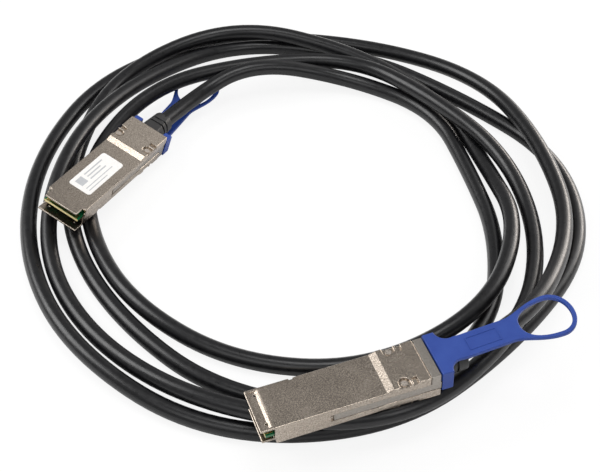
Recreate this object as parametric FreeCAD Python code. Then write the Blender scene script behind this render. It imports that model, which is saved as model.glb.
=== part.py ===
# Direct attach copper cable: two pluggable modules joined by one black twinax cable.
# Millimetres, +Z up. The cable lies coiled on the floor (z = 0); plug A lies top up on
# the coil, plug B lies flipped across it. Each plug is made once, in its own frame:
# u (X) from the nose to the rear, v (Y) across, w (Z) up from the lower front face.
import FreeCAD, Part
import math
import os

V = FreeCAD.Vector
os.makedirs("parts", exist_ok=True)

# ---- module shell -------------------------------------------------------------------
BODY_W = 18.35            # across the two long sides
BODY_L = 65.0             # nose to rear face
FRONT_H = 8.5             # height of the part that enters the cage
REAR_STEP = 1.0           # how far the rear rises above and below the front
REAR_L = 17.0             # length of the raised rear
RAMP_L = 2.8
PARTING_W = 4.5           # where the two shell halves meet
NOSE_OPEN = 5.0           # the side walls start here
NOSE_PLATE = 0.8          # thickness of the shell plates at the nose
BOTTOM_SETBACK = 0.7      # the lower plate starts this far behind the upper lip
SKIN = 1.1                # wall above and below the inner hollow
HOLLOW_START = 3.0
FRONT_HOLLOW_END = 23.0
FRONT_WALL = 0.85         # side wall beside the wide part of the card
MID_WALL = 1.75
REAR_WALL = 2.95
CORNER_NOTCH_L = 5.4      # open front corners of the lower plate
CORNER_NOTCH_W = 1.6
TROUGH_START = 1.0
TROUGH_FLAT_END = 3.4
TROUGH_END = 4.8
TROUGH_HALF_W = 8.1
TROUGH_DEPTH = 0.45
TROUGH_HOLE_R = 0.45
TROUGH_HOLE_U = 3.1
TROUGH_HOLE_V = 6.3
EDGE_NOTCH_U = 16.8
EDGE_NOTCH_R = 0.8
EDGE_NOTCH_DEEP = 0.9
OVERCUT = 1.0             # how far a cut runs on past the face it opens

# ---- rivets and their recesses --------------------------------------------------------
RIVET_FROM_REAR = 13.0
RIVET_INSET = 1.875       # from the long side to the rivet's middle
RIVET_R = 0.75
RIVET_HEAD_R = 1.15
RIVET_HEAD_T = 0.35
RECESS_R = 2.0
RECESS_DEEP = 0.9
KEY_SLOT_GAP = 0.9        # between the round recess and the slot behind it
KEY_SLOT_L = 1.8

# ---- latch slide ----------------------------------------------------------------------
LATCH_T = 0.4             # sheet thickness of the latch
LATCH_FIT = 0.1           # sliding clearance behind and beside the latch
LATCH_END_FIT = 0.3       # clearance before the band and round the finger's travel
LATCH_SINK = 0.3          # how far the arms lie inside the side faces
LATCH_TRAVEL = 3.0
ARM_LOW_W = 2.6
ARM_HIGH_W = 5.7
ARM_L = 42.0
ARM_PAST_REAR = 3.0       # the arms end this far behind the shell, inside the tab's root
ARM_SLOT_AHEAD = 1.0      # free slot ahead of each arm's tip
BAND_L = 3.3
BAND_FROM_REAR = 0.1
FINGER_FROM_REAR = 25.5   # inward finger that pushes the return spring
FINGER_REACH = 2.15
FINGER_LOW_W = 3.3
FINGER_HIGH_W = 4.7
WINDOW_PAST_WALL = 0.5    # the finger's window cuts this far past the inner wall
SPRING_COIL_R = 0.3
SPRING_WIRE_R = 0.1
SPRING_L = 2.8
SPRING_TURNS = 6

# ---- inner pieces ---------------------------------------------------------------------
CARD_T = 1.0
CARD_FIT = 0.125          # beside the wide front of the card
CARD_TAIL_FIT = 0.225
CARD_START = 1.9
CARD_FROM_REAR = 31.0
CARD_DROP = 0.25          # the card's middle lies below the plug's axis
CONTACT_COUNT = 19
CONTACT_PITCH = 0.8
CONTACT_W = 0.56
CONTACT_L = 2.6
CONTACT_T = 0.06
CONTACT_INSET = 0.15
CHIP_SIZE = 4.0
CHIP_T = 0.9
CHIP_U = 18.0
CAPACITOR_SIZE = (1.0, 0.5, 0.45)
CAPACITOR_COUNT = 8
CAPACITOR_U = 11.0
CAPACITOR_PITCH = 1.7
WIRE_R = 0.55
WIRE_LAP = 3.0            # length of the wires that lies on the card
POTTING_L = 5.6
POTTING_LAP = 1.6         # the middle hollow runs this far past the potting's front
PIECE_GAP = 0.1           # around the potting inside the hollow
PAIR_SPACING = 3.3
PAIR_COUNT = 4
LABEL_START = 12.9
LABEL_BEFORE_RAMP = 7.4
LABEL_HALF_W = 5.2
LABEL_T = 0.12
LABEL_CORNER = 1.3

# ---- cable, ferrule and boot ----------------------------------------------------------
CABLE_D = 6.7
FERRULE_R = 4.0
FERRULE_L = 10.0
FERRULE_FROM_REAR = 5.0
JACKET_SETBACK = 2.0      # the jacket ends this far behind the ferrule's front
BOOT_NECK_FIT = 0.05
BOOT_BASE_R = 5.3
BOOT_END_R = 4.6
BOOT_L = 12.5             # behind the shell
BOOT_HALF_H = 4.1
BOOT_GAP = 0.3            # rear face of the shell to the boot's shoulder
BOOT_GROOVES = (5.4, 8.0)
GROOVE_L = 0.7
GROOVE_DEEP = 0.6

# ---- pull tab -------------------------------------------------------------------------
TAB_T = 1.5
TAB_GAP = 0.3             # over the boot, and behind the shell
ROOT_L = 4.3
ROOT_PAST_SIDE = 0.125    # the root is this much wider than the shell, on each side
ROOT_LOW_W = 1.4
ROOT_PASS_FIT = 0.5       # beside the boot
NECK_L = 5.4
NECK_HOLLOW = 0.25        # how early the concave neck reaches the strap's width
STRAP_HALF_W = 5.1
STRAP_STUB = 3.0          # straight strap behind the neck
STRAP_L = 16.0            # here the strap may bend and twist
LOOP_L = 25.0
LOOP_WIDE_SHARE = 0.68    # where along its length the loop is widest
LOOP_HALF_W = 9.4
HOLE_SETBACK = 4.4
RIM = 1.6
SHOULDER_PULL = 0.55      # handle lengths of the loop's smooth outline
TIP_PULL = 0.6
HOLE_PULL = 0.8

AXIS_W = FRONT_H / 2      # height of the cable's axis in the plug
FAR = 60.0                # larger than any cut needs to be


def box(u0, u1, v0, v1, w0, w1):
    return Part.makeBox(u1 - u0, v1 - v0, w1 - w0, V(u0, v0, w0))


def both_sides(shape):
    return [shape, shape.mirror(V(0, 0, 0), V(0, 1, 0))]


def side_prism(profile, half_w):
    """A closed outline in the u-w plane, extruded across the plug."""
    points = [V(u, -half_w, w) for u, w in profile]
    return Part.Face(Part.makePolygon(points + points[:1])).extrude(V(0, 2 * half_w, 0))


def upright(u, v, radius, w0, w1):
    return Part.makeCylinder(radius, w1 - w0, V(u, v, w0), V(0, 0, 1))


def along(u0, u1, v, w, radius):
    return Part.makeCylinder(radius, u1 - u0, V(u0, v, w), V(1, 0, 0))


# ---- derived sizes --------------------------------------------------------------------
HALF_W = BODY_W / 2
RIVET_V = HALF_W - RIVET_INSET
CARD_HALF_W = HALF_W - FRONT_WALL - CARD_FIT
CARD_TAIL_HALF_W = HALF_W - MID_WALL - CARD_TAIL_FIT
TOP_W = FRONT_H + REAR_STEP
LOW_W = -REAR_STEP
RAMP_END = BODY_L - REAR_L
RAMP_START = RAMP_END - RAMP_L
RIVET_U = BODY_L - RIVET_FROM_REAR
ARM_OUT = HALF_W - LATCH_SINK
ARM_IN = ARM_OUT - LATCH_T
ARM_END = BODY_L + ARM_PAST_REAR
ARM_START = ARM_END - ARM_L
BAND_END = BODY_L - BAND_FROM_REAR
BAND_START = BAND_END - BAND_L
FINGER_U = BODY_L - FINGER_FROM_REAR
SLOT_FLOOR = ARM_IN - LATCH_FIT
CABLE_R = CABLE_D / 2
CARD_MID = AXIS_W - CARD_DROP
CARD_TOP = CARD_MID + CARD_T / 2
CARD_LOW = CARD_TOP - CARD_T
CARD_END = BODY_L - CARD_FROM_REAR
HOLLOW_TOP = FRONT_H - SKIN
FERRULE_END = BODY_L - FERRULE_FROM_REAR
POTTING_END = FERRULE_END - FERRULE_L
POTTING_START = POTTING_END - POTTING_L
MID_HOLLOW_END = POTTING_START + POTTING_LAP
CABLE_START = POTTING_END + JACKET_SETBACK
BOOT_END = BODY_L + BOOT_L
LABEL_END = RAMP_START - LABEL_BEFORE_RAMP
TAB_START = BODY_L + TAB_GAP
ROOT_HALF_W = HALF_W + ROOT_PAST_SIDE
ROOT_END = TAB_START + ROOT_L
NECK_END = ROOT_END + NECK_L
STRAP_BEND = NECK_END + STRAP_STUB
LOOP_START = STRAP_BEND + STRAP_L


def hollow():
    """The room inside the two halves, in three widths, and the bore for ferrule and boot."""
    steps = ((HOLLOW_START, FRONT_HOLLOW_END, FRONT_WALL),
             (FRONT_HOLLOW_END, MID_HOLLOW_END, MID_WALL),
             (MID_HOLLOW_END, POTTING_END, REAR_WALL))
    rooms = [box(u0, u1, wall - HALF_W, HALF_W - wall, SKIN, HOLLOW_TOP)
             for u0, u1, wall in steps]
    bore = along(POTTING_END, BODY_L + OVERCUT, 0, AXIS_W, FERRULE_R + BOOT_NECK_FIT)
    return rooms[0].multiFuse(rooms[1:] + [bore])


def latch_channel():
    """Side slots and the shallow bed across the rear top, open to the rear."""
    past_rear = BODY_L + OVERCUT
    band_room = BAND_START - LATCH_END_FIT
    slot = box(ARM_START - ARM_SLOT_AHEAD, past_rear, SLOT_FLOOR, FAR,
               ARM_LOW_W - LATCH_FIT, ARM_HIGH_W + LATCH_FIT)
    leg = box(band_room, past_rear, SLOT_FLOOR, FAR, ARM_LOW_W - LATCH_FIT, FAR)
    window = box(FINGER_U - LATCH_END_FIT, FINGER_U + LATCH_T + LATCH_TRAVEL + LATCH_END_FIT,
                 HALF_W - MID_WALL - WINDOW_PAST_WALL, FAR,
                 FINGER_LOW_W - 2 * LATCH_FIT, FINGER_HIGH_W + 2 * LATCH_FIT)
    bed = box(band_room, past_rear, -FAR, FAR, TOP_W - LATCH_T - LATCH_FIT, FAR)
    cuts = both_sides(slot.multiFuse([leg, window]))
    return cuts[0].multiFuse([cuts[1], bed])


def rivet_recesses(face_w, direction):
    """Two D-shaped recesses, open to the long sides, each with a slot behind it."""
    w0, w1 = sorted((face_w - direction * RECESS_DEEP, face_w + direction * FAR))
    recess = upright(RIVET_U, RIVET_V, RECESS_R, w0, w1)
    mouth = box(RIVET_U - RECESS_R, RIVET_U + RECESS_R, RIVET_V, FAR, w0, w1)
    slot_start = RIVET_U + RECESS_R + KEY_SLOT_GAP
    slot = box(slot_start, slot_start + KEY_SLOT_L, RIVET_V - RIVET_HEAD_R, FAR, w0, w1)
    return both_sides(recess.multiFuse([mouth, slot]))


def rivet_bores():
    return both_sides(upright(RIVET_U, RIVET_V, RIVET_R, LOW_W - OVERCUT, TOP_W + OVERCUT))


def cut_all(shape, cutters):
    return shape.cut(cutters[0].multiFuse(cutters[1:])).removeSplitter()


def top_shell():
    profile = [(0, FRONT_H - NOSE_PLATE), (0, FRONT_H), (RAMP_START, FRONT_H),
               (RAMP_END, TOP_W), (BODY_L, TOP_W), (BODY_L, PARTING_W),
               (NOSE_OPEN, PARTING_W), (NOSE_OPEN, FRONT_H - NOSE_PLATE)]
    shell = side_prism(profile, HALF_W)
    bed_w = FRONT_H - TROUGH_DEPTH
    trough = side_prism([(TROUGH_START, bed_w), (TROUGH_FLAT_END, bed_w),
                         (TROUGH_END, FRONT_H), (TROUGH_END, FRONT_H + OVERCUT),
                         (TROUGH_START, FRONT_H + OVERCUT)], TROUGH_HALF_W)
    holes = both_sides(upright(TROUGH_HOLE_U, TROUGH_HOLE_V, TROUGH_HOLE_R, PARTING_W, FAR))
    notch = upright(EDGE_NOTCH_U, HALF_W, EDGE_NOTCH_R, FRONT_H - EDGE_NOTCH_DEEP, FAR)
    cuts = [hollow(), latch_channel(), trough, notch] + holes
    return cut_all(shell, cuts + rivet_recesses(TOP_W, 1) + rivet_bores())


def bottom_shell():
    profile = [(BOTTOM_SETBACK, 0), (BOTTOM_SETBACK, NOSE_PLATE), (NOSE_OPEN, NOSE_PLATE),
               (NOSE_OPEN, PARTING_W), (BODY_L, PARTING_W), (BODY_L, LOW_W),
               (RAMP_END, LOW_W), (RAMP_START, 0)]
    shell = side_prism(profile, HALF_W)
    corner = box(-OVERCUT, CORNER_NOTCH_L, HALF_W - CORNER_NOTCH_W, FAR,
                 -OVERCUT, SKIN + OVERCUT)
    cuts = [hollow(), latch_channel()] + both_sides(corner)
    return cut_all(shell, cuts + rivet_recesses(LOW_W, -1) + rivet_bores())


def rivets():
    low = LOW_W + RECESS_DEEP
    high = TOP_W - RECESS_DEEP
    shank = upright(RIVET_U, RIVET_V, RIVET_R, low, high)
    heads = [upright(RIVET_U, RIVET_V, RIVET_HEAD_R, high, high + RIVET_HEAD_T),
             upright(RIVET_U, RIVET_V, RIVET_HEAD_R, low - RIVET_HEAD_T, low)]
    return Part.makeCompound(both_sides(shank.multiFuse(heads).removeSplitter()))


def paddle_card():
    front = box(CARD_START, FRONT_HOLLOW_END - PIECE_GAP, -CARD_HALF_W, CARD_HALF_W,
                CARD_LOW, CARD_TOP)
    tail = box(CARD_START, CARD_END, -CARD_TAIL_HALF_W, CARD_TAIL_HALF_W,
               CARD_LOW, CARD_TOP)
    return front.fuse(tail).removeSplitter()


def contact_fingers():
    pads = []
    for i in range(CONTACT_COUNT):
        v = (i - (CONTACT_COUNT - 1) / 2) * CONTACT_PITCH
        for w in (CARD_TOP, CARD_LOW - CONTACT_T):
            pads.append(box(CARD_START + CONTACT_INSET, CARD_START + CONTACT_INSET + CONTACT_L,
                            v - CONTACT_W / 2, v + CONTACT_W / 2, w, w + CONTACT_T))
    return Part.makeCompound(pads)


def eeprom_chip():
    half = CHIP_SIZE / 2
    return box(CHIP_U - half, CHIP_U + half, -half, half, CARD_TOP, CARD_TOP + CHIP_T)


def chip_capacitors():
    length, width, height = CAPACITOR_SIZE
    parts = []
    for i in range(CAPACITOR_COUNT):
        v = (i - (CAPACITOR_COUNT - 1) / 2) * CAPACITOR_PITCH
        parts.append(box(CAPACITOR_U, CAPACITOR_U + length, v - width / 2, v + width / 2,
                         CARD_TOP, CARD_TOP + height))
    return Part.makeCompound(parts)


def twinax_pairs():
    wires = []
    for i in range(PAIR_COUNT):
        centre = (i - (PAIR_COUNT - 1) / 2) * PAIR_SPACING
        for v in (centre - WIRE_R, centre + WIRE_R):
            for w in (CARD_TOP + WIRE_R, CARD_LOW - WIRE_R):
                wires.append(along(CARD_END - WIRE_LAP, POTTING_START, v, w, WIRE_R))
    return Part.makeCompound(wires)


def joint_potting():
    half_w = HALF_W - REAR_WALL - PIECE_GAP
    return box(POTTING_START, POTTING_END, -half_w, half_w,
               SKIN + PIECE_GAP, HOLLOW_TOP - PIECE_GAP)


def crimp_ferrule():
    tube = along(POTTING_END, FERRULE_END, 0, AXIS_W, FERRULE_R)
    return tube.cut(along(CABLE_START, BODY_L, 0, AXIS_W, CABLE_R))


def cable_boot():
    shoulder = BODY_L + BOOT_GAP
    neck = along(FERRULE_END, shoulder + OVERCUT, 0, AXIS_W, FERRULE_R)
    cone = Part.makeCone(BOOT_BASE_R, BOOT_END_R, BOOT_END - shoulder,
                         V(shoulder, 0, AXIS_W), V(1, 0, 0))
    cone = cone.common(box(shoulder, BOOT_END, -FAR, FAR,
                           AXIS_W - BOOT_HALF_H, AXIS_W + BOOT_HALF_H))
    boot = cone.fuse(neck)
    for place in BOOT_GROOVES:
        u = BODY_L + place
        ring = along(u, u + GROOVE_L, 0, AXIS_W, FAR)
        core = box(u, u + GROOVE_L, -FAR, FAR, AXIS_W - BOOT_HALF_H + GROOVE_DEEP,
                   AXIS_W + BOOT_HALF_H - GROOVE_DEEP)
        core = core.common(along(u, u + GROOVE_L, 0, AXIS_W, BOOT_END_R - GROOVE_DEEP))
        boot = boot.cut(ring.cut(core))
    return boot.cut(along(FERRULE_END - OVERCUT, BOOT_END + OVERCUT, 0, AXIS_W, CABLE_R))


def label():
    sheet = box(LABEL_START, LABEL_END, -LABEL_HALF_W, LABEL_HALF_W, -LABEL_T, 0)
    corners = [edge for edge in sheet.Edges
               if abs(edge.Vertexes[0].Z - edge.Vertexes[1].Z) > LABEL_T / 2]
    return sheet.makeFillet(LABEL_CORNER, corners)


def latch_slide():
    """One bent sheet: two side arms, two legs and the band across the top."""
    arm = box(ARM_START, ARM_END, ARM_IN, ARM_OUT, ARM_LOW_W, ARM_HIGH_W)
    leg = box(BAND_START, BAND_END, ARM_IN, ARM_OUT, ARM_LOW_W, TOP_W)
    finger = box(FINGER_U, FINGER_U + LATCH_T, ARM_IN - FINGER_REACH, ARM_OUT,
                 FINGER_LOW_W, FINGER_HIGH_W)
    band = box(BAND_START, BAND_END, -ARM_OUT, ARM_OUT, TOP_W - LATCH_T, TOP_W)
    sides = both_sides(arm.multiFuse([leg, finger]))
    return sides[0].multiFuse([sides[1], band]).removeSplitter()


def return_springs():
    pitch = SPRING_L / SPRING_TURNS
    helix = Part.makeHelix(pitch, SPRING_L - 2 * SPRING_WIRE_R, SPRING_COIL_R)
    profile = Part.Wire(Part.makeCircle(SPRING_WIRE_R, V(SPRING_COIL_R, 0, 0), V(0, 1, 0)))
    spring = Part.Wire(helix.Edges).makePipeShell([profile], True, True)
    spring.rotate(V(0, 0, 0), V(0, 1, 0), 90)
    v = ARM_IN - FINGER_REACH + SPRING_COIL_R + SPRING_WIRE_R
    spring.translate(V(FINGER_U + LATCH_T + SPRING_WIRE_R, v, CARD_MID))
    return Part.makeCompound(both_sides(spring))


def curve(*poles):
    """A smooth plan curve from its end points and the handles between them."""
    bezier = Part.BezierCurve()
    bezier.setPoles([V(u, v, 0) for u, v in poles])
    return bezier.toShape()


def mirrored_plate(edges, low, high):
    """Closes half an outline along the axis and extrudes it to both sides."""
    first = edges[0].Vertexes[0].Point
    last = edges[-1].Vertexes[-1].Point
    half = Part.Face(Part.Wire(edges + [Part.makeLine(last, first)]))
    half = half.extrude(V(0, 0, high - low)).translated(V(0, 0, low))
    return half.fuse(half.mirror(V(0, 0, 0), V(0, 1, 0))).removeSplitter()


def root_plate(low):
    """Wide root and concave neck of the tab, flat in the plug's frame."""
    neck_mid = V(ROOT_END + NECK_L * NECK_HOLLOW,
                 STRAP_HALF_W + (ROOT_HALF_W - STRAP_HALF_W) * NECK_HOLLOW, 0)
    corners = [V(TAB_START, 0, 0), V(TAB_START, ROOT_HALF_W, 0), V(ROOT_END, ROOT_HALF_W, 0),
               V(NECK_END, STRAP_HALF_W, 0), V(STRAP_BEND, STRAP_HALF_W, 0),
               V(STRAP_BEND, 0, 0)]
    edges = [Part.makeLine(corners[0], corners[1]), Part.makeLine(corners[1], corners[2]),
             Part.Arc(corners[2], neck_mid, corners[3]).toShape(),
             Part.makeLine(corners[3], corners[4]), Part.makeLine(corners[4], corners[5])]
    return mirrored_plate(edges, low, low + TAB_T)


def loop_half(back, front, half_w, at_back, rise):
    """Half of an oval from (back, at_back) over its widest place to (front, 0)."""
    wide = LOOP_L * LOOP_WIDE_SHARE
    tip = front - wide
    return [curve((back, at_back), (HOLE_SETBACK, rise),
                  (back + (wide - back) * SHOULDER_PULL, half_w), (wide, half_w)),
            curve((wide, half_w), (wide + tip * TIP_PULL, half_w),
                  (front, half_w * SHOULDER_PULL), (front, 0))]


def loop_plate():
    """Finger loop with its hole; its frame starts on the axis where the strap ends."""
    inner = LOOP_HALF_W - RIM
    outline = [Part.makeLine(V(0, 0, 0), V(0, STRAP_HALF_W, 0))]
    outline += loop_half(0, LOOP_L, LOOP_HALF_W, STRAP_HALF_W, STRAP_HALF_W)
    opening = loop_half(HOLE_SETBACK, LOOP_L - RIM, inner, 0, inner * HOLE_PULL)
    plate = mirrored_plate(outline, -TAB_T / 2, TAB_T / 2)
    return plate.cut(mirrored_plate(opening, -TAB_T, TAB_T))


def strap_section(placement):
    """The strap's cross-section as a closed wire in the given place."""
    corners = [(-STRAP_HALF_W, -TAB_T / 2), (STRAP_HALF_W, -TAB_T / 2),
               (STRAP_HALF_W, TAB_T / 2), (-STRAP_HALF_W, TAB_T / 2)]
    points = [placement.multVec(V(0, v, w)) for v, w in corners]
    return Part.makePolygon(points + points[:1])


def pull_tab(loop_v, loop_w, pitch, yaw, twist):
    """The loop's place off the plug's axis and its turn against the root, in degrees."""
    low = AXIS_W + BOOT_HALF_H + TAB_GAP
    turn = FreeCAD.Rotation(V(1, 0, 0), twist)
    turn = turn.multiply(FreeCAD.Rotation(V(0, 0, 1), yaw))
    turn = turn.multiply(FreeCAD.Rotation(V(0, 1, 0), -pitch))
    loop_place = FreeCAD.Placement(V(LOOP_START, loop_v, loop_w), turn)
    bend_place = FreeCAD.Placement(V(STRAP_BEND, 0, low + TAB_T / 2), FreeCAD.Rotation())
    loop = loop_plate()
    loop.Placement = loop_place
    strap = Part.makeLoft([strap_section(bend_place), strap_section(loop_place)], True, True)
    cheek = box(TAB_START, ROOT_END, BOOT_BASE_R + ROOT_PASS_FIT, ROOT_HALF_W,
                ROOT_LOW_W, low)
    root = root_plate(low).multiFuse(both_sides(cheek) + [strap, loop]).removeSplitter()
    return root.cut(latch_slide())


# ---- the cable's route ----------------------------------------------------------------
# From plug B the cable winds clockwise, seen from above, and ends at plug A. At each of
# the twelve clock positions a turn has its distance from the coil's centre and the
# height of the cable's axis; it lies on the floor or passes over another turn.
COIL_CENTRE = (4.1, 26.3)
FIRST_ANGLE = 105
STEP_ANGLE = 30
TURN_RADII = (
    (84, 89, 85, 74, 82, 102, 120, 110, 97, 96, 103, 120),
    (123, 103, 93, 82, 90, 99, 98, 94, 90, 88, 96, 96),
    (92, 98, 83, 90, 99, 115, 134, 122, 112, 108, 103, 107),
    (119, 109, 101, 115, 118, 113, 126, 129, 121, 115, 117, 127),
    (126, 119, 116, 106, 112))
F = CABLE_R               # height of the axis where the cable lies on the floor
TURN_HEIGHTS = (
    (17, 4, 5, F, F, F, F, F, F, F, F, 8),
    (13, 9, F, 4, 12, 11, 4, F, 6, F, F, 12.5),
    (11, 9, 13, 9.5, 6, 12.5, 13.5, 9.5, 4, 4, 13, 10),
    (4.5, F, 4, F, 5, F, F, F, 6, 4, 4, 4),
    (F, F, 8, 12.5, 11))
STRAIGHT_OUT = BOOT_END + 20.5    # the cable runs straight out of each plug to here
ARC_SHARE = 0.45          # share of the shorter run that each bend takes


def plug_placement(nose, yaw, pitch, roll):
    """yaw turns the plug on the floor, pitch lifts its rear, roll lifts its +v side."""
    turn = FreeCAD.Rotation(V(0, 0, 1), yaw)
    turn = turn.multiply(FreeCAD.Rotation(V(0, 1, 0), -pitch))
    turn = turn.multiply(FreeCAD.Rotation(V(1, 0, 0), roll))
    return FreeCAD.Placement(V(*nose), turn)


FLIP = FreeCAD.Placement(V(0, 0, FRONT_H), FreeCAD.Rotation(V(1, 0, 0), 180))
NOSE_A = (-12.3, -103.9, 15.0)
NOSE_B = (-93.8, 5.6, 11.4)
PLACE_A = plug_placement(NOSE_A, 19.5, 2.6, 2.5)
PLACE_B = plug_placement(NOSE_B, 62.0, -5.0, 16.3).multiply(FLIP)
TAB_A_LOOP_W = 10.6       # tab A stands free and rises a little
TAB_A_PITCH = 3.5
TAB_B_LOOP_V = -0.9       # tab B is bent up between the floor and the cable
TAB_B_LOOP_W = 7.9
TAB_B_PITCH = -13.0
TAB_B_YAW = -2.0
TAB_B_TWIST = -2.0


def cable_points():
    def at_plug(place, u):
        return place.multVec(V(u, 0, AXIS_W))

    points = [at_plug(PLACE_B, CABLE_START), at_plug(PLACE_B, STRAIGHT_OUT)]
    angle = FIRST_ANGLE
    for radii, heights in zip(TURN_RADII, TURN_HEIGHTS):
        for radius, height in zip(radii, heights):
            points.append(V(COIL_CENTRE[0] + radius * math.cos(math.radians(angle)),
                            COIL_CENTRE[1] + radius * math.sin(math.radians(angle)), height))
            angle -= STEP_ANGLE
    return points + [at_plug(PLACE_A, STRAIGHT_OUT), at_plug(PLACE_A, CABLE_START)]


def rounded_path(points):
    """Straight runs joined by tangent arcs; returns the edges and the arcs' radii."""
    edges = []
    radii = []
    last = points[0]
    for before, here, after in zip(points, points[1:], points[2:]):
        back = before - here
        ahead = after - here
        reach = ARC_SHARE * min(back.Length, ahead.Length)
        half_turn = (math.pi - back.getAngle(ahead)) / 2
        radius = reach / math.tan(half_turn)
        back.normalize()
        ahead.normalize()
        middle = (back + ahead).normalize()
        start = here + back * reach
        end = here + ahead * reach
        crown = here + middle * (math.hypot(radius, reach) - radius)
        edges.append(Part.LineSegment(last, start).toShape())
        edges.append(Part.Arc(start, crown, end).toShape())
        radii.append(radius)
        last = end
    edges.append(Part.LineSegment(last, points[-1]).toShape())
    return edges, radii


def cable():
    edges, radii = rounded_path(cable_points())
    path = Part.Wire(edges)
    start = edges[0].Vertexes[0].Point
    heading = edges[0].Vertexes[1].Point - start
    section = Part.Wire(Part.makeCircle(CABLE_R, start, heading))
    tube = path.makePipeShell([section], True, False)
    ideal = math.pi * CABLE_R ** 2 * path.Length
    print("cable length %.1f mm, bend radii %.0f to %.0f mm" % (path.Length, min(radii),
                                                               max(radii)))
    print("cable volume %.0f mm3, section x length %.0f mm3" % (tube.Volume, ideal))
    return tube


def save(name, shape, placement=None):
    placed = shape.copy()
    if placement is not None:
        placed.Placement = placement.multiply(placed.Placement)
    placed.exportStep("parts/%s.step" % name)
    print("%-20s %6.2f cm3  valid %s" % (name, placed.Volume / 1000, placed.isValid()))


PLUG_PIECES = {
    "top_shell": top_shell, "bottom_shell": bottom_shell, "rivets": rivets,
    "paddle_card": paddle_card, "contact_fingers": contact_fingers,
    "eeprom_chip": eeprom_chip, "chip_capacitors": chip_capacitors,
    "twinax_pairs": twinax_pairs, "joint_potting": joint_potting,
    "crimp_ferrule": crimp_ferrule, "cable_boot": cable_boot, "label": label,
    "latch_slide": latch_slide, "return_springs": return_springs}

for piece, make in PLUG_PIECES.items():
    shape = make()
    save(piece + "_a", shape, PLACE_A)
    save(piece + "_b", shape, PLACE_B)
save("pull_tab_a", pull_tab(0, TAB_A_LOOP_W, TAB_A_PITCH, 0, 0), PLACE_A)
save("pull_tab_b", pull_tab(TAB_B_LOOP_V, TAB_B_LOOP_W, TAB_B_PITCH, TAB_B_YAW,
                            TAB_B_TWIST), PLACE_B)
save("cable", cable())
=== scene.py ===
"""Looks of the direct attach copper cable: plated die-cast modules with bent sheet
latches, blue moulded pull tabs, gold-edged cards and one black coiled cable."""
import math

import bmesh
import bpy
from mathutils import Matrix, Vector


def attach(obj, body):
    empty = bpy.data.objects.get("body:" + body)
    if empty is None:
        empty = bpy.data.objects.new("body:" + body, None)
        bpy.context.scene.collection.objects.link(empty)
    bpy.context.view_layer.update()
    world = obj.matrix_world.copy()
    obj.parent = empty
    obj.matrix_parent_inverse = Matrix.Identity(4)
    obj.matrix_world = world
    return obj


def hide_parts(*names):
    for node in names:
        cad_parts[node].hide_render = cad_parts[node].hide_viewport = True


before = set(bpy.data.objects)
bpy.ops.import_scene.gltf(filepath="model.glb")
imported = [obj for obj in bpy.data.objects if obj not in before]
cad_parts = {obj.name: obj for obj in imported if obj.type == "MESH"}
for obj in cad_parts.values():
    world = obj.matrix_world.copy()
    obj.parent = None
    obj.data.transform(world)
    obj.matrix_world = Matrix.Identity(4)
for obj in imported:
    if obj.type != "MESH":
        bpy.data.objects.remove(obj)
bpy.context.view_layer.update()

MM = 0.001
BODY = "coil_and_plugs"

# ---- the plugs' places, repeated from the model (millimetres and degrees) -------------
FRONT_H = 8.5
AXIS_W = FRONT_H / 2
PLUG_A = {"nose": (-12.3, -103.9, 15.0), "yaw": 19.5, "pitch": 2.6, "roll": 2.5}
PLUG_B = {"nose": (-93.8, 5.6, 11.4), "yaw": 62.0, "pitch": -5.0, "roll": 16.3}


def plug_matrix(plug, flipped):
    """From a plug's own frame (nose to rear, across, up) in mm to the scene in metres."""
    turn = (Matrix.Rotation(math.radians(plug["yaw"]), 4, "Z")
            @ Matrix.Rotation(math.radians(-plug["pitch"]), 4, "Y")
            @ Matrix.Rotation(math.radians(plug["roll"]), 4, "X"))
    place = Matrix.Scale(MM, 4) @ Matrix.Translation(plug["nose"]) @ turn
    if flipped:
        place = place @ Matrix.Translation((0, 0, FRONT_H)) @ Matrix.Rotation(math.pi, 4, "X")
    return place


PLACES = {"a": plug_matrix(PLUG_A, False), "b": plug_matrix(PLUG_B, True)}

# ---- camera ---------------------------------------------------------------------------
CAMERA_AT = (3.6 * MM, -398.2 * MM, 369.7 * MM)
CAMERA_DOWN = 42.26       # degrees below level
CAMERA_LENS = 81.1        # mm
SENSOR_WIDTH = 36         # mm

camera_data = bpy.data.cameras.new("camera")
camera_data.lens = CAMERA_LENS
camera_data.sensor_width = SENSOR_WIDTH
camera_data.clip_start = 0.01
camera = bpy.data.objects.new("camera", camera_data)
camera.location = CAMERA_AT
camera.rotation_euler = (math.radians(90 - CAMERA_DOWN), 0, 0)
bpy.context.scene.collection.objects.link(camera)
bpy.context.scene.camera = camera
bpy.context.scene.view_settings.view_transform = "Standard"

# ---- the cable's route, repeated from the model ---------------------------------------
CABLE_D = 6.7
# along a plug from its nose: where the cable starts, where its boot ends, and how far
# it runs straight on
CABLE_START = 52.0
STRAIGHT_OUT = 98.0
COIL_CENTRE = (4.1, 26.3)
FIRST_ANGLE = 105         # degrees, then clockwise in steps
STEP_ANGLE = 30
TURN_RADII = (
    (84, 89, 85, 74, 82, 102, 120, 110, 97, 96, 103, 120),
    (123, 103, 93, 82, 90, 99, 98, 94, 90, 88, 96, 96),
    (92, 98, 83, 90, 99, 115, 134, 122, 112, 108, 103, 107),
    (119, 109, 101, 115, 118, 113, 126, 129, 121, 115, 117, 127),
    (126, 119, 116, 106, 112))
F = CABLE_D / 2           # height of the axis where the cable lies on the floor
TURN_HEIGHTS = (
    (17, 4, 5, F, F, F, F, F, F, F, F, 8),
    (13, 9, F, 4, 12, 11, 4, F, 6, F, F, 12.5),
    (11, 9, 13, 9.5, 6, 12.5, 13.5, 9.5, 4, 4, 13, 10),
    (4.5, F, 4, F, 5, F, F, F, 6, 4, 4, 4),
    (F, F, 8, 12.5, 11))
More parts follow.
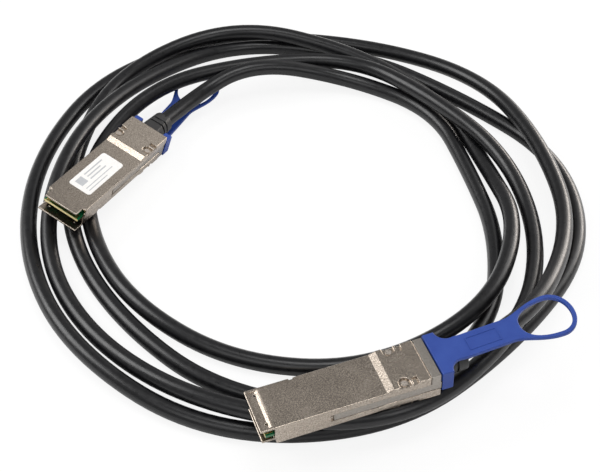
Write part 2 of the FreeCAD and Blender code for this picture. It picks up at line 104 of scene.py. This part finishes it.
CABLE_STEPS = 14          # rings between two control points
CABLE_ROUNDNESS = 8       # steps of its round section


def cable_points():
    """Control points of the cable in metres, from plug B round the coil to plug A."""
    def at_plug(side, u):
        return PLACES[side] @ Vector((u, 0, AXIS_W))

    points = [at_plug("b", CABLE_START), at_plug("b", STRAIGHT_OUT)]
    angle = FIRST_ANGLE
    for radii, heights in zip(TURN_RADII, TURN_HEIGHTS):
        for radius, height in zip(radii, heights):
            turn = math.radians(angle)
            points.append(Vector((COIL_CENTRE[0] + radius * math.cos(turn),
                                  COIL_CENTRE[1] + radius * math.sin(turn), height)) * MM)
            angle -= STEP_ANGLE
    return points + [at_plug("a", STRAIGHT_OUT), at_plug("a", CABLE_START)]


def make_cable():
    """The cable as one smooth round cord."""
    curve = bpy.data.curves.new("cable_jacket", "CURVE")
    curve.dimensions = "3D"
    curve.resolution_u = CABLE_STEPS
    curve.bevel_depth = CABLE_D / 2 * MM
    curve.bevel_resolution = CABLE_ROUNDNESS
    points = cable_points()
    spline = curve.splines.new("NURBS")
    spline.points.add(len(points) - 1)
    for knot, point in zip(spline.points, points):
        knot.co = (*point, 1)
    spline.order_u = 3
    spline.use_endpoint_u = True
    cable = bpy.data.objects.new("cable_jacket", curve)
    bpy.context.scene.collection.objects.link(cable)
    return cable


# ---- materials ------------------------------------------------------------------------
def linear(hex_colour):
    """An sRGB hex colour as linear RGBA."""
    channels = [int(hex_colour[i:i + 2], 16) / 255 for i in (0, 2, 4)]
    return [c / 12.92 if c <= 0.04045 else ((c + 0.055) / 1.055) ** 2.4
            for c in channels] + [1.0]


def add_node(tree, kind, settings=None, inputs=None, links=None):
    """Adds a node, sets its properties and socket values, and links sockets to it."""
    node = tree.nodes.new(kind)
    for name, value in (settings or {}).items():
        setattr(node, name, value)
    for name, value in (inputs or {}).items():
        node.inputs[name].default_value = value
    for name, socket in (links or {}).items():
        tree.links.new(socket, node.inputs[name])
    return node


def new_material(name):
    """A material with only its output and a Principled shader."""
    material = bpy.data.materials.new(name)
    material.use_nodes = True
    tree = material.node_tree
    tree.nodes.clear()
    shader = add_node(tree, "ShaderNodeBsdfPrincipled")
    add_node(tree, "ShaderNodeOutputMaterial", links={"Surface": shader.outputs[0]})
    return material, tree, shader


def grain(tree, size_mm, detail=2.0, roughness=0.5):
    """Isotropic noise whose patches are about size_mm across."""
    place = add_node(tree, "ShaderNodeTexCoord")
    return add_node(tree, "ShaderNodeTexNoise",
                    inputs={"Scale": 1 / (size_mm * MM), "Detail": detail,
                            "Roughness": roughness},
                    links={"Vector": place.outputs["Object"]})


def spread(tree, source, low, high, start=0.3, end=0.7):
    """Maps a 0 to 1 pattern to the range low to high."""
    return add_node(tree, "ShaderNodeMapRange",
                    inputs={"From Min": start, "From Max": end, "To Min": low,
                            "To Max": high},
                    links={"Value": source}).outputs["Result"]


MIX_A, MIX_B, MIX_RESULT = 6, 7, 2        # the colour sockets of a mix node


def blend_colours(tree, factor, first, second):
    """A colour between two hex colours, by the factor's socket."""
    mix = add_node(tree, "ShaderNodeMix", {"data_type": "RGBA"}, links={"Factor": factor})
    mix.inputs[MIX_A].default_value = linear(first)
    mix.inputs[MIX_B].default_value = linear(second)
    return mix.outputs[MIX_RESULT]


def bump(tree, shader, height, distance_mm, strength=1.0):
    """Lets a pattern raise the surface's relief in the shader."""
    node = add_node(tree, "ShaderNodeBump",
                    inputs={"Distance": distance_mm * MM, "Strength": strength},
                    links={"Height": height})
    tree.links.new(node.outputs[0], shader.inputs["Normal"])


def nickel_plated_casting():
    """Die-cast zinc, bead-blasted and nickel plated: a warm grey with a fine sparkle."""
    material, tree, shader = new_material("nickel_plated_zinc_casting")
    shader.inputs["Metallic"].default_value = 1.0
    speckle = grain(tree, size_mm=0.38, detail=3.0, roughness=0.7)
    drift = grain(tree, size_mm=9.0)
    share = spread(tree, speckle.outputs[0], low=0, high=1, start=0.35, end=0.65)
    tree.links.new(blend_colours(tree, share, "7C7269", "C2B7AA"),
                   shader.inputs["Base Color"])
    tree.links.new(spread(tree, drift.outputs[0], low=0.23, high=0.29),
                   shader.inputs["Roughness"])
    bump(tree, shader, speckle.outputs[0], distance_mm=0.02, strength=0.6)
    return material


def stainless_sheet():
    """Rolled stainless spring steel: a darker, smoother grey than the casting."""
    material, tree, shader = new_material("rolled_stainless_sheet")
    shader.inputs["Metallic"].default_value = 1.0
    mottle = grain(tree, size_mm=0.5)
    share = spread(tree, mottle.outputs[0], low=0, high=1)
    tree.links.new(blend_colours(tree, share, "8A857F", "A09A93"),
                   shader.inputs["Base Color"])
    shader.inputs["Roughness"].default_value = 0.34
    bump(tree, shader, mottle.outputs[0], distance_mm=0.01, strength=0.4)
    return material


def plated_metal(name, colour, roughness):
    """A thin bright plating: one clean colour whose shine varies a little."""
    material, tree, shader = new_material(name)
    shader.inputs["Metallic"].default_value = 1.0
    mottle = grain(tree, size_mm=0.6)
    tree.links.new(spread(tree, mottle.outputs[0], low=roughness, high=roughness + 0.1),
                   shader.inputs["Roughness"])
    shader.inputs["Base Color"].default_value = linear(colour)
    return material


def blue_moulding():
    """Satin injection moulded polyurethane in a strong blue, with a fine mould texture."""
    material, tree, shader = new_material("blue_moulded_polyurethane")
    mould = grain(tree, size_mm=0.35)
    cloud = grain(tree, size_mm=6.0)
    share = spread(tree, cloud.outputs[0], low=0, high=1)
    tree.links.new(blend_colours(tree, share, "1A3884", "22408C"),
                   shader.inputs["Base Color"])
    tree.links.new(spread(tree, mould.outputs[0], low=0.42, high=0.52),
                   shader.inputs["Roughness"])
    shader.inputs["Specular IOR Level"].default_value = 0.35
    bump(tree, shader, mould.outputs[0], distance_mm=0.02, strength=0.5)
    return material


def black_jacket():
    """Extruded black PVC: satin, with a faint unevenness of tone and shine."""
    material, tree, shader = new_material("extruded_black_pvc")
    cloud = grain(tree, size_mm=2.2, detail=3.0)
    fine = grain(tree, size_mm=0.3)
    share = spread(tree, cloud.outputs[0], low=0, high=1)
    tree.links.new(blend_colours(tree, share, "0B0B0D", "121214"),
                   shader.inputs["Base Color"])
    tree.links.new(spread(tree, cloud.outputs[0], low=0.27, high=0.35),
                   shader.inputs["Roughness"])
    shader.inputs["Specular IOR Level"].default_value = 0.4
    bump(tree, shader, fine.outputs[0], distance_mm=0.005, strength=0.3)
    return material


def plain_plastic(name, first, second, roughness):
    """Moulded, printed or coated surfaces: two near tones, mottled, with a slight tooth."""
    material, tree, shader = new_material(name)
    mottle = grain(tree, size_mm=0.8)
    share = spread(tree, mottle.outputs[0], low=0, high=1)
    tree.links.new(blend_colours(tree, share, first, second), shader.inputs["Base Color"])
    shader.inputs["Roughness"].default_value = roughness
    bump(tree, shader, mottle.outputs[0], distance_mm=0.01, strength=0.3)
    return material


def white_film():
    """Matt white polyester film, printed with nothing."""
    material, tree, shader = new_material("white_polyester_film")
    mottle = grain(tree, size_mm=0.7)
    share = spread(tree, mottle.outputs[0], low=0, high=1)
    tree.links.new(blend_colours(tree, share, "D8D7D5", "DFDEDC"),
                   shader.inputs["Base Color"])
    shader.inputs["Roughness"].default_value = 0.5
    return material


MATERIALS = {
    "casting": nickel_plated_casting(),
    "sheet": stainless_sheet(),
    "rivet": plated_metal("tinned_steel_rivet", "C4BAB0", 0.25),
    "gold": plated_metal("hard_gold_plating", "E6C878", 0.25),
    "spring": plated_metal("spring_wire", "B0B0B0", 0.3),
    "ferrule": plated_metal("tinned_brass", "C9B887", 0.35),
    "blue": blue_moulding(),
    "jacket": black_jacket(),
    "boot": plain_plastic("black_moulded_rubber", "141415", "1B1B1C", 0.5),
    "board": plain_plastic("green_solder_mask", "0E5A34", "13663C", 0.3),
    "chip": plain_plastic("black_epoxy", "1A1A1B", "232324", 0.6),
    "capacitor": plain_plastic("fired_ceramic", "8A6F52", "9A7E60", 0.5),
    "wire": plain_plastic("silver_foil_jacket", "B4B6BA", "C8CACE", 0.35),
    "potting": plain_plastic("hot_melt", "C8BFA4", "D6CDB4", 0.45),
    "laminate": plain_plastic("bare_glass_laminate", "D9C58A", "E6D6A2", 0.4),
    "ink": plain_plastic("pale_grey_ink", "A4A6A9", "AEB0B3", 0.5),
    "label": white_film()}


def dress(piece, material):
    """Gives the piece one of the materials; its mesh stays as it is."""
    piece.data.materials.clear()
    piece.data.materials.append(MATERIALS[material])


# ---- pieces finished from the model's own solids --------------------------------------
def link(name, mesh):
    """A new object with this mesh, put in the scene."""
    piece = bpy.data.objects.new(name, mesh)
    bpy.context.scene.collection.objects.link(piece)
    return piece


FLAT_AREA = 0.8 * MM ** 2         # a face of this size is a flat, not part of a curve
FLAT_CORNER = math.radians(14)    # corners between flats
CURVE_CORNER = math.radians(32)   # corners where a curved face takes part
RIM_CORNER = math.radians(60)     # corners between a flat and the wall of a recess
LONG_EDGE = 1.1 * MM              # shorter ones aren't rounded, but for rims
PARTING_W = 4.5                   # here the two castings meet, and their corners are crisp
PARTING_NEAR = 0.01               # how near to that height counts as on it
CRISP = 0.25                      # share of the bevel that a crisp corner gets
WELD = 0.002 * MM                 # vertices this close are one
SAME_FLAT = math.radians(1)       # faces this level with each other are one


def welded_copy(node, name):
    """A copy of a node's mesh, its flats made whole, with its corners marked.

    Every corner is a crease. The long convex ones between flats and the convex rims of
    recesses get a bevel weight too."""
    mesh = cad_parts[node].data.copy()
    to_plug = PLACES[node[-1]].inverted()     # a node's last letter names its plug
    bm = bmesh.new()
    bm.from_mesh(mesh)
    bmesh.ops.remove_doubles(bm, verts=bm.verts, dist=WELD)
    bmesh.ops.dissolve_limit(bm, angle_limit=SAME_FLAT, verts=bm.verts,
                             edges=bm.edges, use_dissolve_boundaries=False)
    weight = bm.edges.layers.float.new("bevel_weight_edge")
    for face in bm.faces:
        face.smooth = True
    for edge in bm.edges:
        edge.smooth = True
        if len(edge.link_faces) != 2:
            continue
        corner = edge.calc_face_angle(0)
        areas = sorted(face.calc_area() for face in edge.link_faces)
        flats = areas[0] > FLAT_AREA
        if corner > (FLAT_CORNER if flats else CURVE_CORNER):
            edge.smooth = False
            long_corner = flats and edge.calc_length() > LONG_EDGE
            rim = areas[1] > FLAT_AREA and corner > RIM_CORNER
            if edge.is_convex and (long_corner or rim):
                heights = [(to_plug @ vert.co).z for vert in edge.verts]
                parting = all(abs(height - PARTING_W) < PARTING_NEAR for height in heights)
                edge[weight] = CRISP if parting else 1
    bm.to_mesh(mesh)
    bm.free()
    return link(name, mesh)


def soften(piece, width_mm, segments):
    """Rounds the weighted edges of a piece, and keeps its flats flat."""
    edges = piece.modifiers.new("rounded edges", "BEVEL")
    edges.width = width_mm * MM
    edges.segments = segments
    edges.limit_method = "WEIGHT"
    edges.use_clamp_overlap = False
    edges.harden_normals = True


CASTING_ROUND = 0.34      # widths of the rounded corners, mm
LATCH_ROUND = 0.08
TAB_ROUND = 0.35
BOOT_ROUND = 0.25
PLAIN_NODES = {"rivets": "rivet", "paddle_card": "board", "contact_fingers": "gold",
               "eeprom_chip": "chip", "chip_capacitors": "capacitor",
               "twinax_pairs": "wire", "joint_potting": "potting",
               "crimp_ferrule": "ferrule", "return_springs": "spring", "label": "label"}


def finish_node(node, name, body, material, width_mm, segments=2):
    """Shows a rounded copy in place of a node."""
    piece = welded_copy(node, name)
    soften(piece, width_mm, segments)
    dress(piece, material)
    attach(piece, body)
    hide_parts(node)
    return piece


def make_plug(side):
    """Dresses one plug: its large pieces rounded, its small ones as they are."""
    latch = "latch_" + side
    finish_node("top_shell_" + side, "upper_casting_" + side, BODY, "casting",
                CASTING_ROUND)
    finish_node("bottom_shell_" + side, "lower_casting_" + side, BODY, "casting",
                CASTING_ROUND)
    finish_node("latch_slide_" + side, "latch_sheet_" + side, latch, "sheet",
                LATCH_ROUND)
    finish_node("pull_tab_" + side, "tab_moulding_" + side, latch, "blue",
                TAB_ROUND, segments=3)
    finish_node("cable_boot_" + side, "boot_moulding_" + side, BODY, "boot",
                BOOT_ROUND, segments=3)
    for node, material in PLAIN_NODES.items():
        dress(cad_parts[node + "_" + side], material)


# ---- small pieces that only show ------------------------------------------------------
def slab(bm, corners, place):
    """A closed block from four lower and four upper corners in the plug's frame (mm)."""
    verts = [bm.verts.new(place @ Vector(corner)) for corner in corners]
    for a, b, c, d in ((3, 2, 1, 0), (4, 5, 6, 7), (0, 1, 5, 4), (1, 2, 6, 5),
                       (2, 3, 7, 6), (3, 0, 4, 7)):
        bm.faces.new([verts[i] for i in (a, b, c, d)])


def block_corners(u0, u1, v0, v1, w0, w1):
    """The corners of a block, the lower four first."""
    return [(u, v, w) for w in (w0, w1) for u, v in ((u0, v0), (u1, v0), (u1, v1), (u0, v1))]


def new_piece(name, fill, body, material):
    """A piece whose mesh the function fill draws; it rides on the body."""
    bm = bmesh.new()
    fill(bm)
    bmesh.ops.recalc_face_normals(bm, faces=bm.faces)
    mesh = bpy.data.meshes.new(name)
    bm.to_mesh(mesh)
    bm.free()
    piece = link(name, mesh)
    dress(piece, material)
    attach(piece, body)
    return piece


# all in the plug's own frame: u from the nose to the rear, v across, w up
CARD_EDGE = (1.86, 1.9)           # the front edge of the card, u
CARD_HALF_W = 8.2
CARD_LOW, CARD_TOP = 3.5, 4.5
LABEL_W = -0.12                   # outer face of the label
BAR_T = 0.02
# fields on the label, as u from, u to, v from, v to
LABEL_FIELDS = ((15.2, 19.4, -3.6, 0.2), (21.2, 33.6, -3.5, -2.9), (21.2, 30.4, -1.9, -1.3),
                (21.2, 32.0, -0.3, 0.3), (15.2, 33.6, 1.9, 2.3), (15.2, 28.0, 3.4, 3.8))


def card_edge(side):
    """The bare glass laminate at the card's front, between its green faces."""
    def fill(bm):
        slab(bm, block_corners(*CARD_EDGE, -CARD_HALF_W, CARD_HALF_W, CARD_LOW, CARD_TOP),
             PLACES[side])
    new_piece("card_edge_" + side, fill, BODY, "laminate")


def label_fields(side):
    """Pale plain fields, where such labels have their rows; they say nothing."""
    def fill(bm):
        for u0, u1, v0, v1 in LABEL_FIELDS:
            slab(bm, block_corners(u0, u1, v0, v1, LABEL_W - BAR_T, LABEL_W), PLACES[side])
    new_piece("label_fields_" + side, fill, BODY, "ink")


# the strap's ends on its upper face: where it bends, and where the loop starts
BEND_U, BEND_W = 78.0, 10.15
LOOP_U, TAB_HALF_T = 94.0, 0.75
LOOP_PLACE = {"a": {"v": 0, "w": 10.6, "pitch": 3.5, "yaw": 0, "twist": 0},
              "b": {"v": -0.9, "w": 7.9, "pitch": -13, "yaw": -2, "twist": -2}}
PANEL_FROM, PANEL_TO = 0.03, 0.78      # shares of the strap's length
PANEL_HALF_W = 2.9
PANEL_LINE = 0.45                      # width of its lines
PANEL_RISE = 0.12                      # above the strap
PANEL_SINK = 0.3                       # into the strap
PANEL_WELD = 0.001 * MM


def strap_panel(side):
    """The thin raised frame on the strap."""
    loop = LOOP_PLACE[side]
    turn = (Matrix.Rotation(math.radians(loop["twist"]), 4, "X")
            @ Matrix.Rotation(math.radians(loop["yaw"]), 4, "Z")
            @ Matrix.Rotation(math.radians(-loop["pitch"]), 4, "Y"))

    def on_strap(share, v, lift):
        near = Vector((BEND_U, v, BEND_W + lift))
        far = Vector((LOOP_U, loop["v"], loop["w"])) + turn @ Vector((0, v, TAB_HALF_T + lift))
        return near.lerp(far, share)

    def fill(bm):
        line = PANEL_LINE / (LOOP_U - BEND_U)
        inner = PANEL_HALF_W - PANEL_LINE
        bars = ((PANEL_FROM, PANEL_TO, -PANEL_HALF_W, -inner),
                (PANEL_FROM, PANEL_TO, inner, PANEL_HALF_W),
                (PANEL_FROM, PANEL_FROM + line, -inner, inner),
                (PANEL_TO - line, PANEL_TO, -inner, inner))
        for s0, s1, v0, v1 in bars:
            corners = [on_strap(share, v, lift) for lift in (-PANEL_SINK, PANEL_RISE)
                       for share, v in ((s0, v0), (s1, v0), (s1, v1), (s0, v1))]
            slab(bm, corners, PLACES[side])
        bmesh.ops.remove_doubles(bm, verts=bm.verts, dist=PANEL_WELD)

    new_piece("strap_panel_" + side, fill, "latch_" + side, "blue")


# ---- cable ----------------------------------------------------------------------------
cable = make_cable()
dress(cable, "jacket")
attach(cable, BODY)
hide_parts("cable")

for side in "ab":
    make_plug(side)
    card_edge(side)
    label_fields(side)
    strap_panel(side)

# ---- floor and light ------------------------------------------------------------------
FLOOR_SIZE = 3.0          # metres
PAPER_WHITE = (0.9, 0.9, 0.9, 1)
PAPER_GLOW = 0.86         # how white the floor shows to the camera itself
WORLD_FILL = 0.36         # light from all round
WHITE = (1, 1, 1)
WARM = (1, 0.92, 0.85)
AIM = (0, 0, 0)
# name, place, size, watts, colour; each softbox shows in a face of its own: the front one
# lights all, the left one shines on plug A's ramp and trough, the top one on plug B's
# ramp, the right one, the card and the edge one on B and on the long edges, and the low
# warm one on the cable's flanks
LAMPS = (("softbox_front", (-0.35, -0.75, 0.85), (0.9, 0.5), 2.9, WHITE),
         ("softbox_left", (-0.80, 0.26, 0.64), (0.6, 0.6), 7.0, WHITE),
         ("softbox_top", (0.06, 0.04, 1.1), (0.45, 0.45), 3.6, WHITE),
         ("softbox_right", (0.75, 0.45, 0.55), (0.5, 0.5), 2.2, WHITE),
         ("softbox_low", (0.70, 0.68, 0.24), (0.6, 0.24), 5.5, WARM),
         ("fill_card", (0.42, 0.85, 0.62), (0.5, 0.5), 0.5, WHITE),
         ("softbox_edge", (0.55, -0.75, 0.78), (0.4, 0.5), 1.8, WHITE))


def make_floor():
    """A plain white sheet that shows almost white and keeps a soft shadow."""
    bm = bmesh.new()
    bmesh.ops.create_grid(bm, x_segments=1, y_segments=1, size=FLOOR_SIZE)
    mesh = bpy.data.meshes.new("floor")
    bm.to_mesh(mesh)
    bm.free()
    floor = link("floor", mesh)
    material = bpy.data.materials.new("white_paper_sweep")
    material.use_nodes = True
    tree = material.node_tree
    tree.nodes.clear()
    matt = add_node(tree, "ShaderNodeBsdfDiffuse", inputs={"Color": PAPER_WHITE})
    glow = add_node(tree, "ShaderNodeEmission",
                    inputs={"Color": (*WHITE, 1), "Strength": 1.0})
    ray = add_node(tree, "ShaderNodeLightPath")
    seen = add_node(tree, "ShaderNodeMath", {"operation": "MULTIPLY"},
                    inputs={1: PAPER_GLOW}, links={0: ray.outputs["Is Camera Ray"]})
    mix = add_node(tree, "ShaderNodeMixShader",
                   links={0: seen.outputs[0], 1: matt.outputs[0], 2: glow.outputs[0]})
    add_node(tree, "ShaderNodeOutputMaterial", links={"Surface": mix.outputs[0]})
    mesh.materials.append(material)


def make_lamp(name, at, size, watts, colour):
    """A rectangular softbox that looks at AIM."""
    lamp = bpy.data.lights.new(name, "AREA")
    lamp.color = colour
    lamp.shape = "RECTANGLE"
    lamp.size, lamp.size_y = size
    lamp.energy = watts
    holder = bpy.data.objects.new(name, lamp)
    holder.location = at
    holder.rotation_euler = (Vector(AIM) - Vector(at)).to_track_quat("-Z", "Y").to_euler()
    bpy.context.scene.collection.objects.link(holder)


def make_world():
    """White behind everything that the camera sees, and a weaker fill for the light."""
    world = bpy.data.worlds.new("studio")
    world.use_nodes = True
    tree = world.node_tree
    tree.nodes.clear()
    fill = add_node(tree, "ShaderNodeBackground",
                    inputs={"Color": (*WHITE, 1), "Strength": WORLD_FILL})
    seen = add_node(tree, "ShaderNodeBackground",
                    inputs={"Color": (*WHITE, 1), "Strength": 1.0})
    ray = add_node(tree, "ShaderNodeLightPath")
    mix = add_node(tree, "ShaderNodeMixShader",
                   links={0: ray.outputs["Is Camera Ray"], 1: fill.outputs[0],
                          2: seen.outputs[0]})
    add_node(tree, "ShaderNodeOutputWorld", links={"Surface": mix.outputs[0]})
    bpy.context.scene.world = world


make_floor()
for lamp in LAMPS:
    make_lamp(*lamp)
make_world()
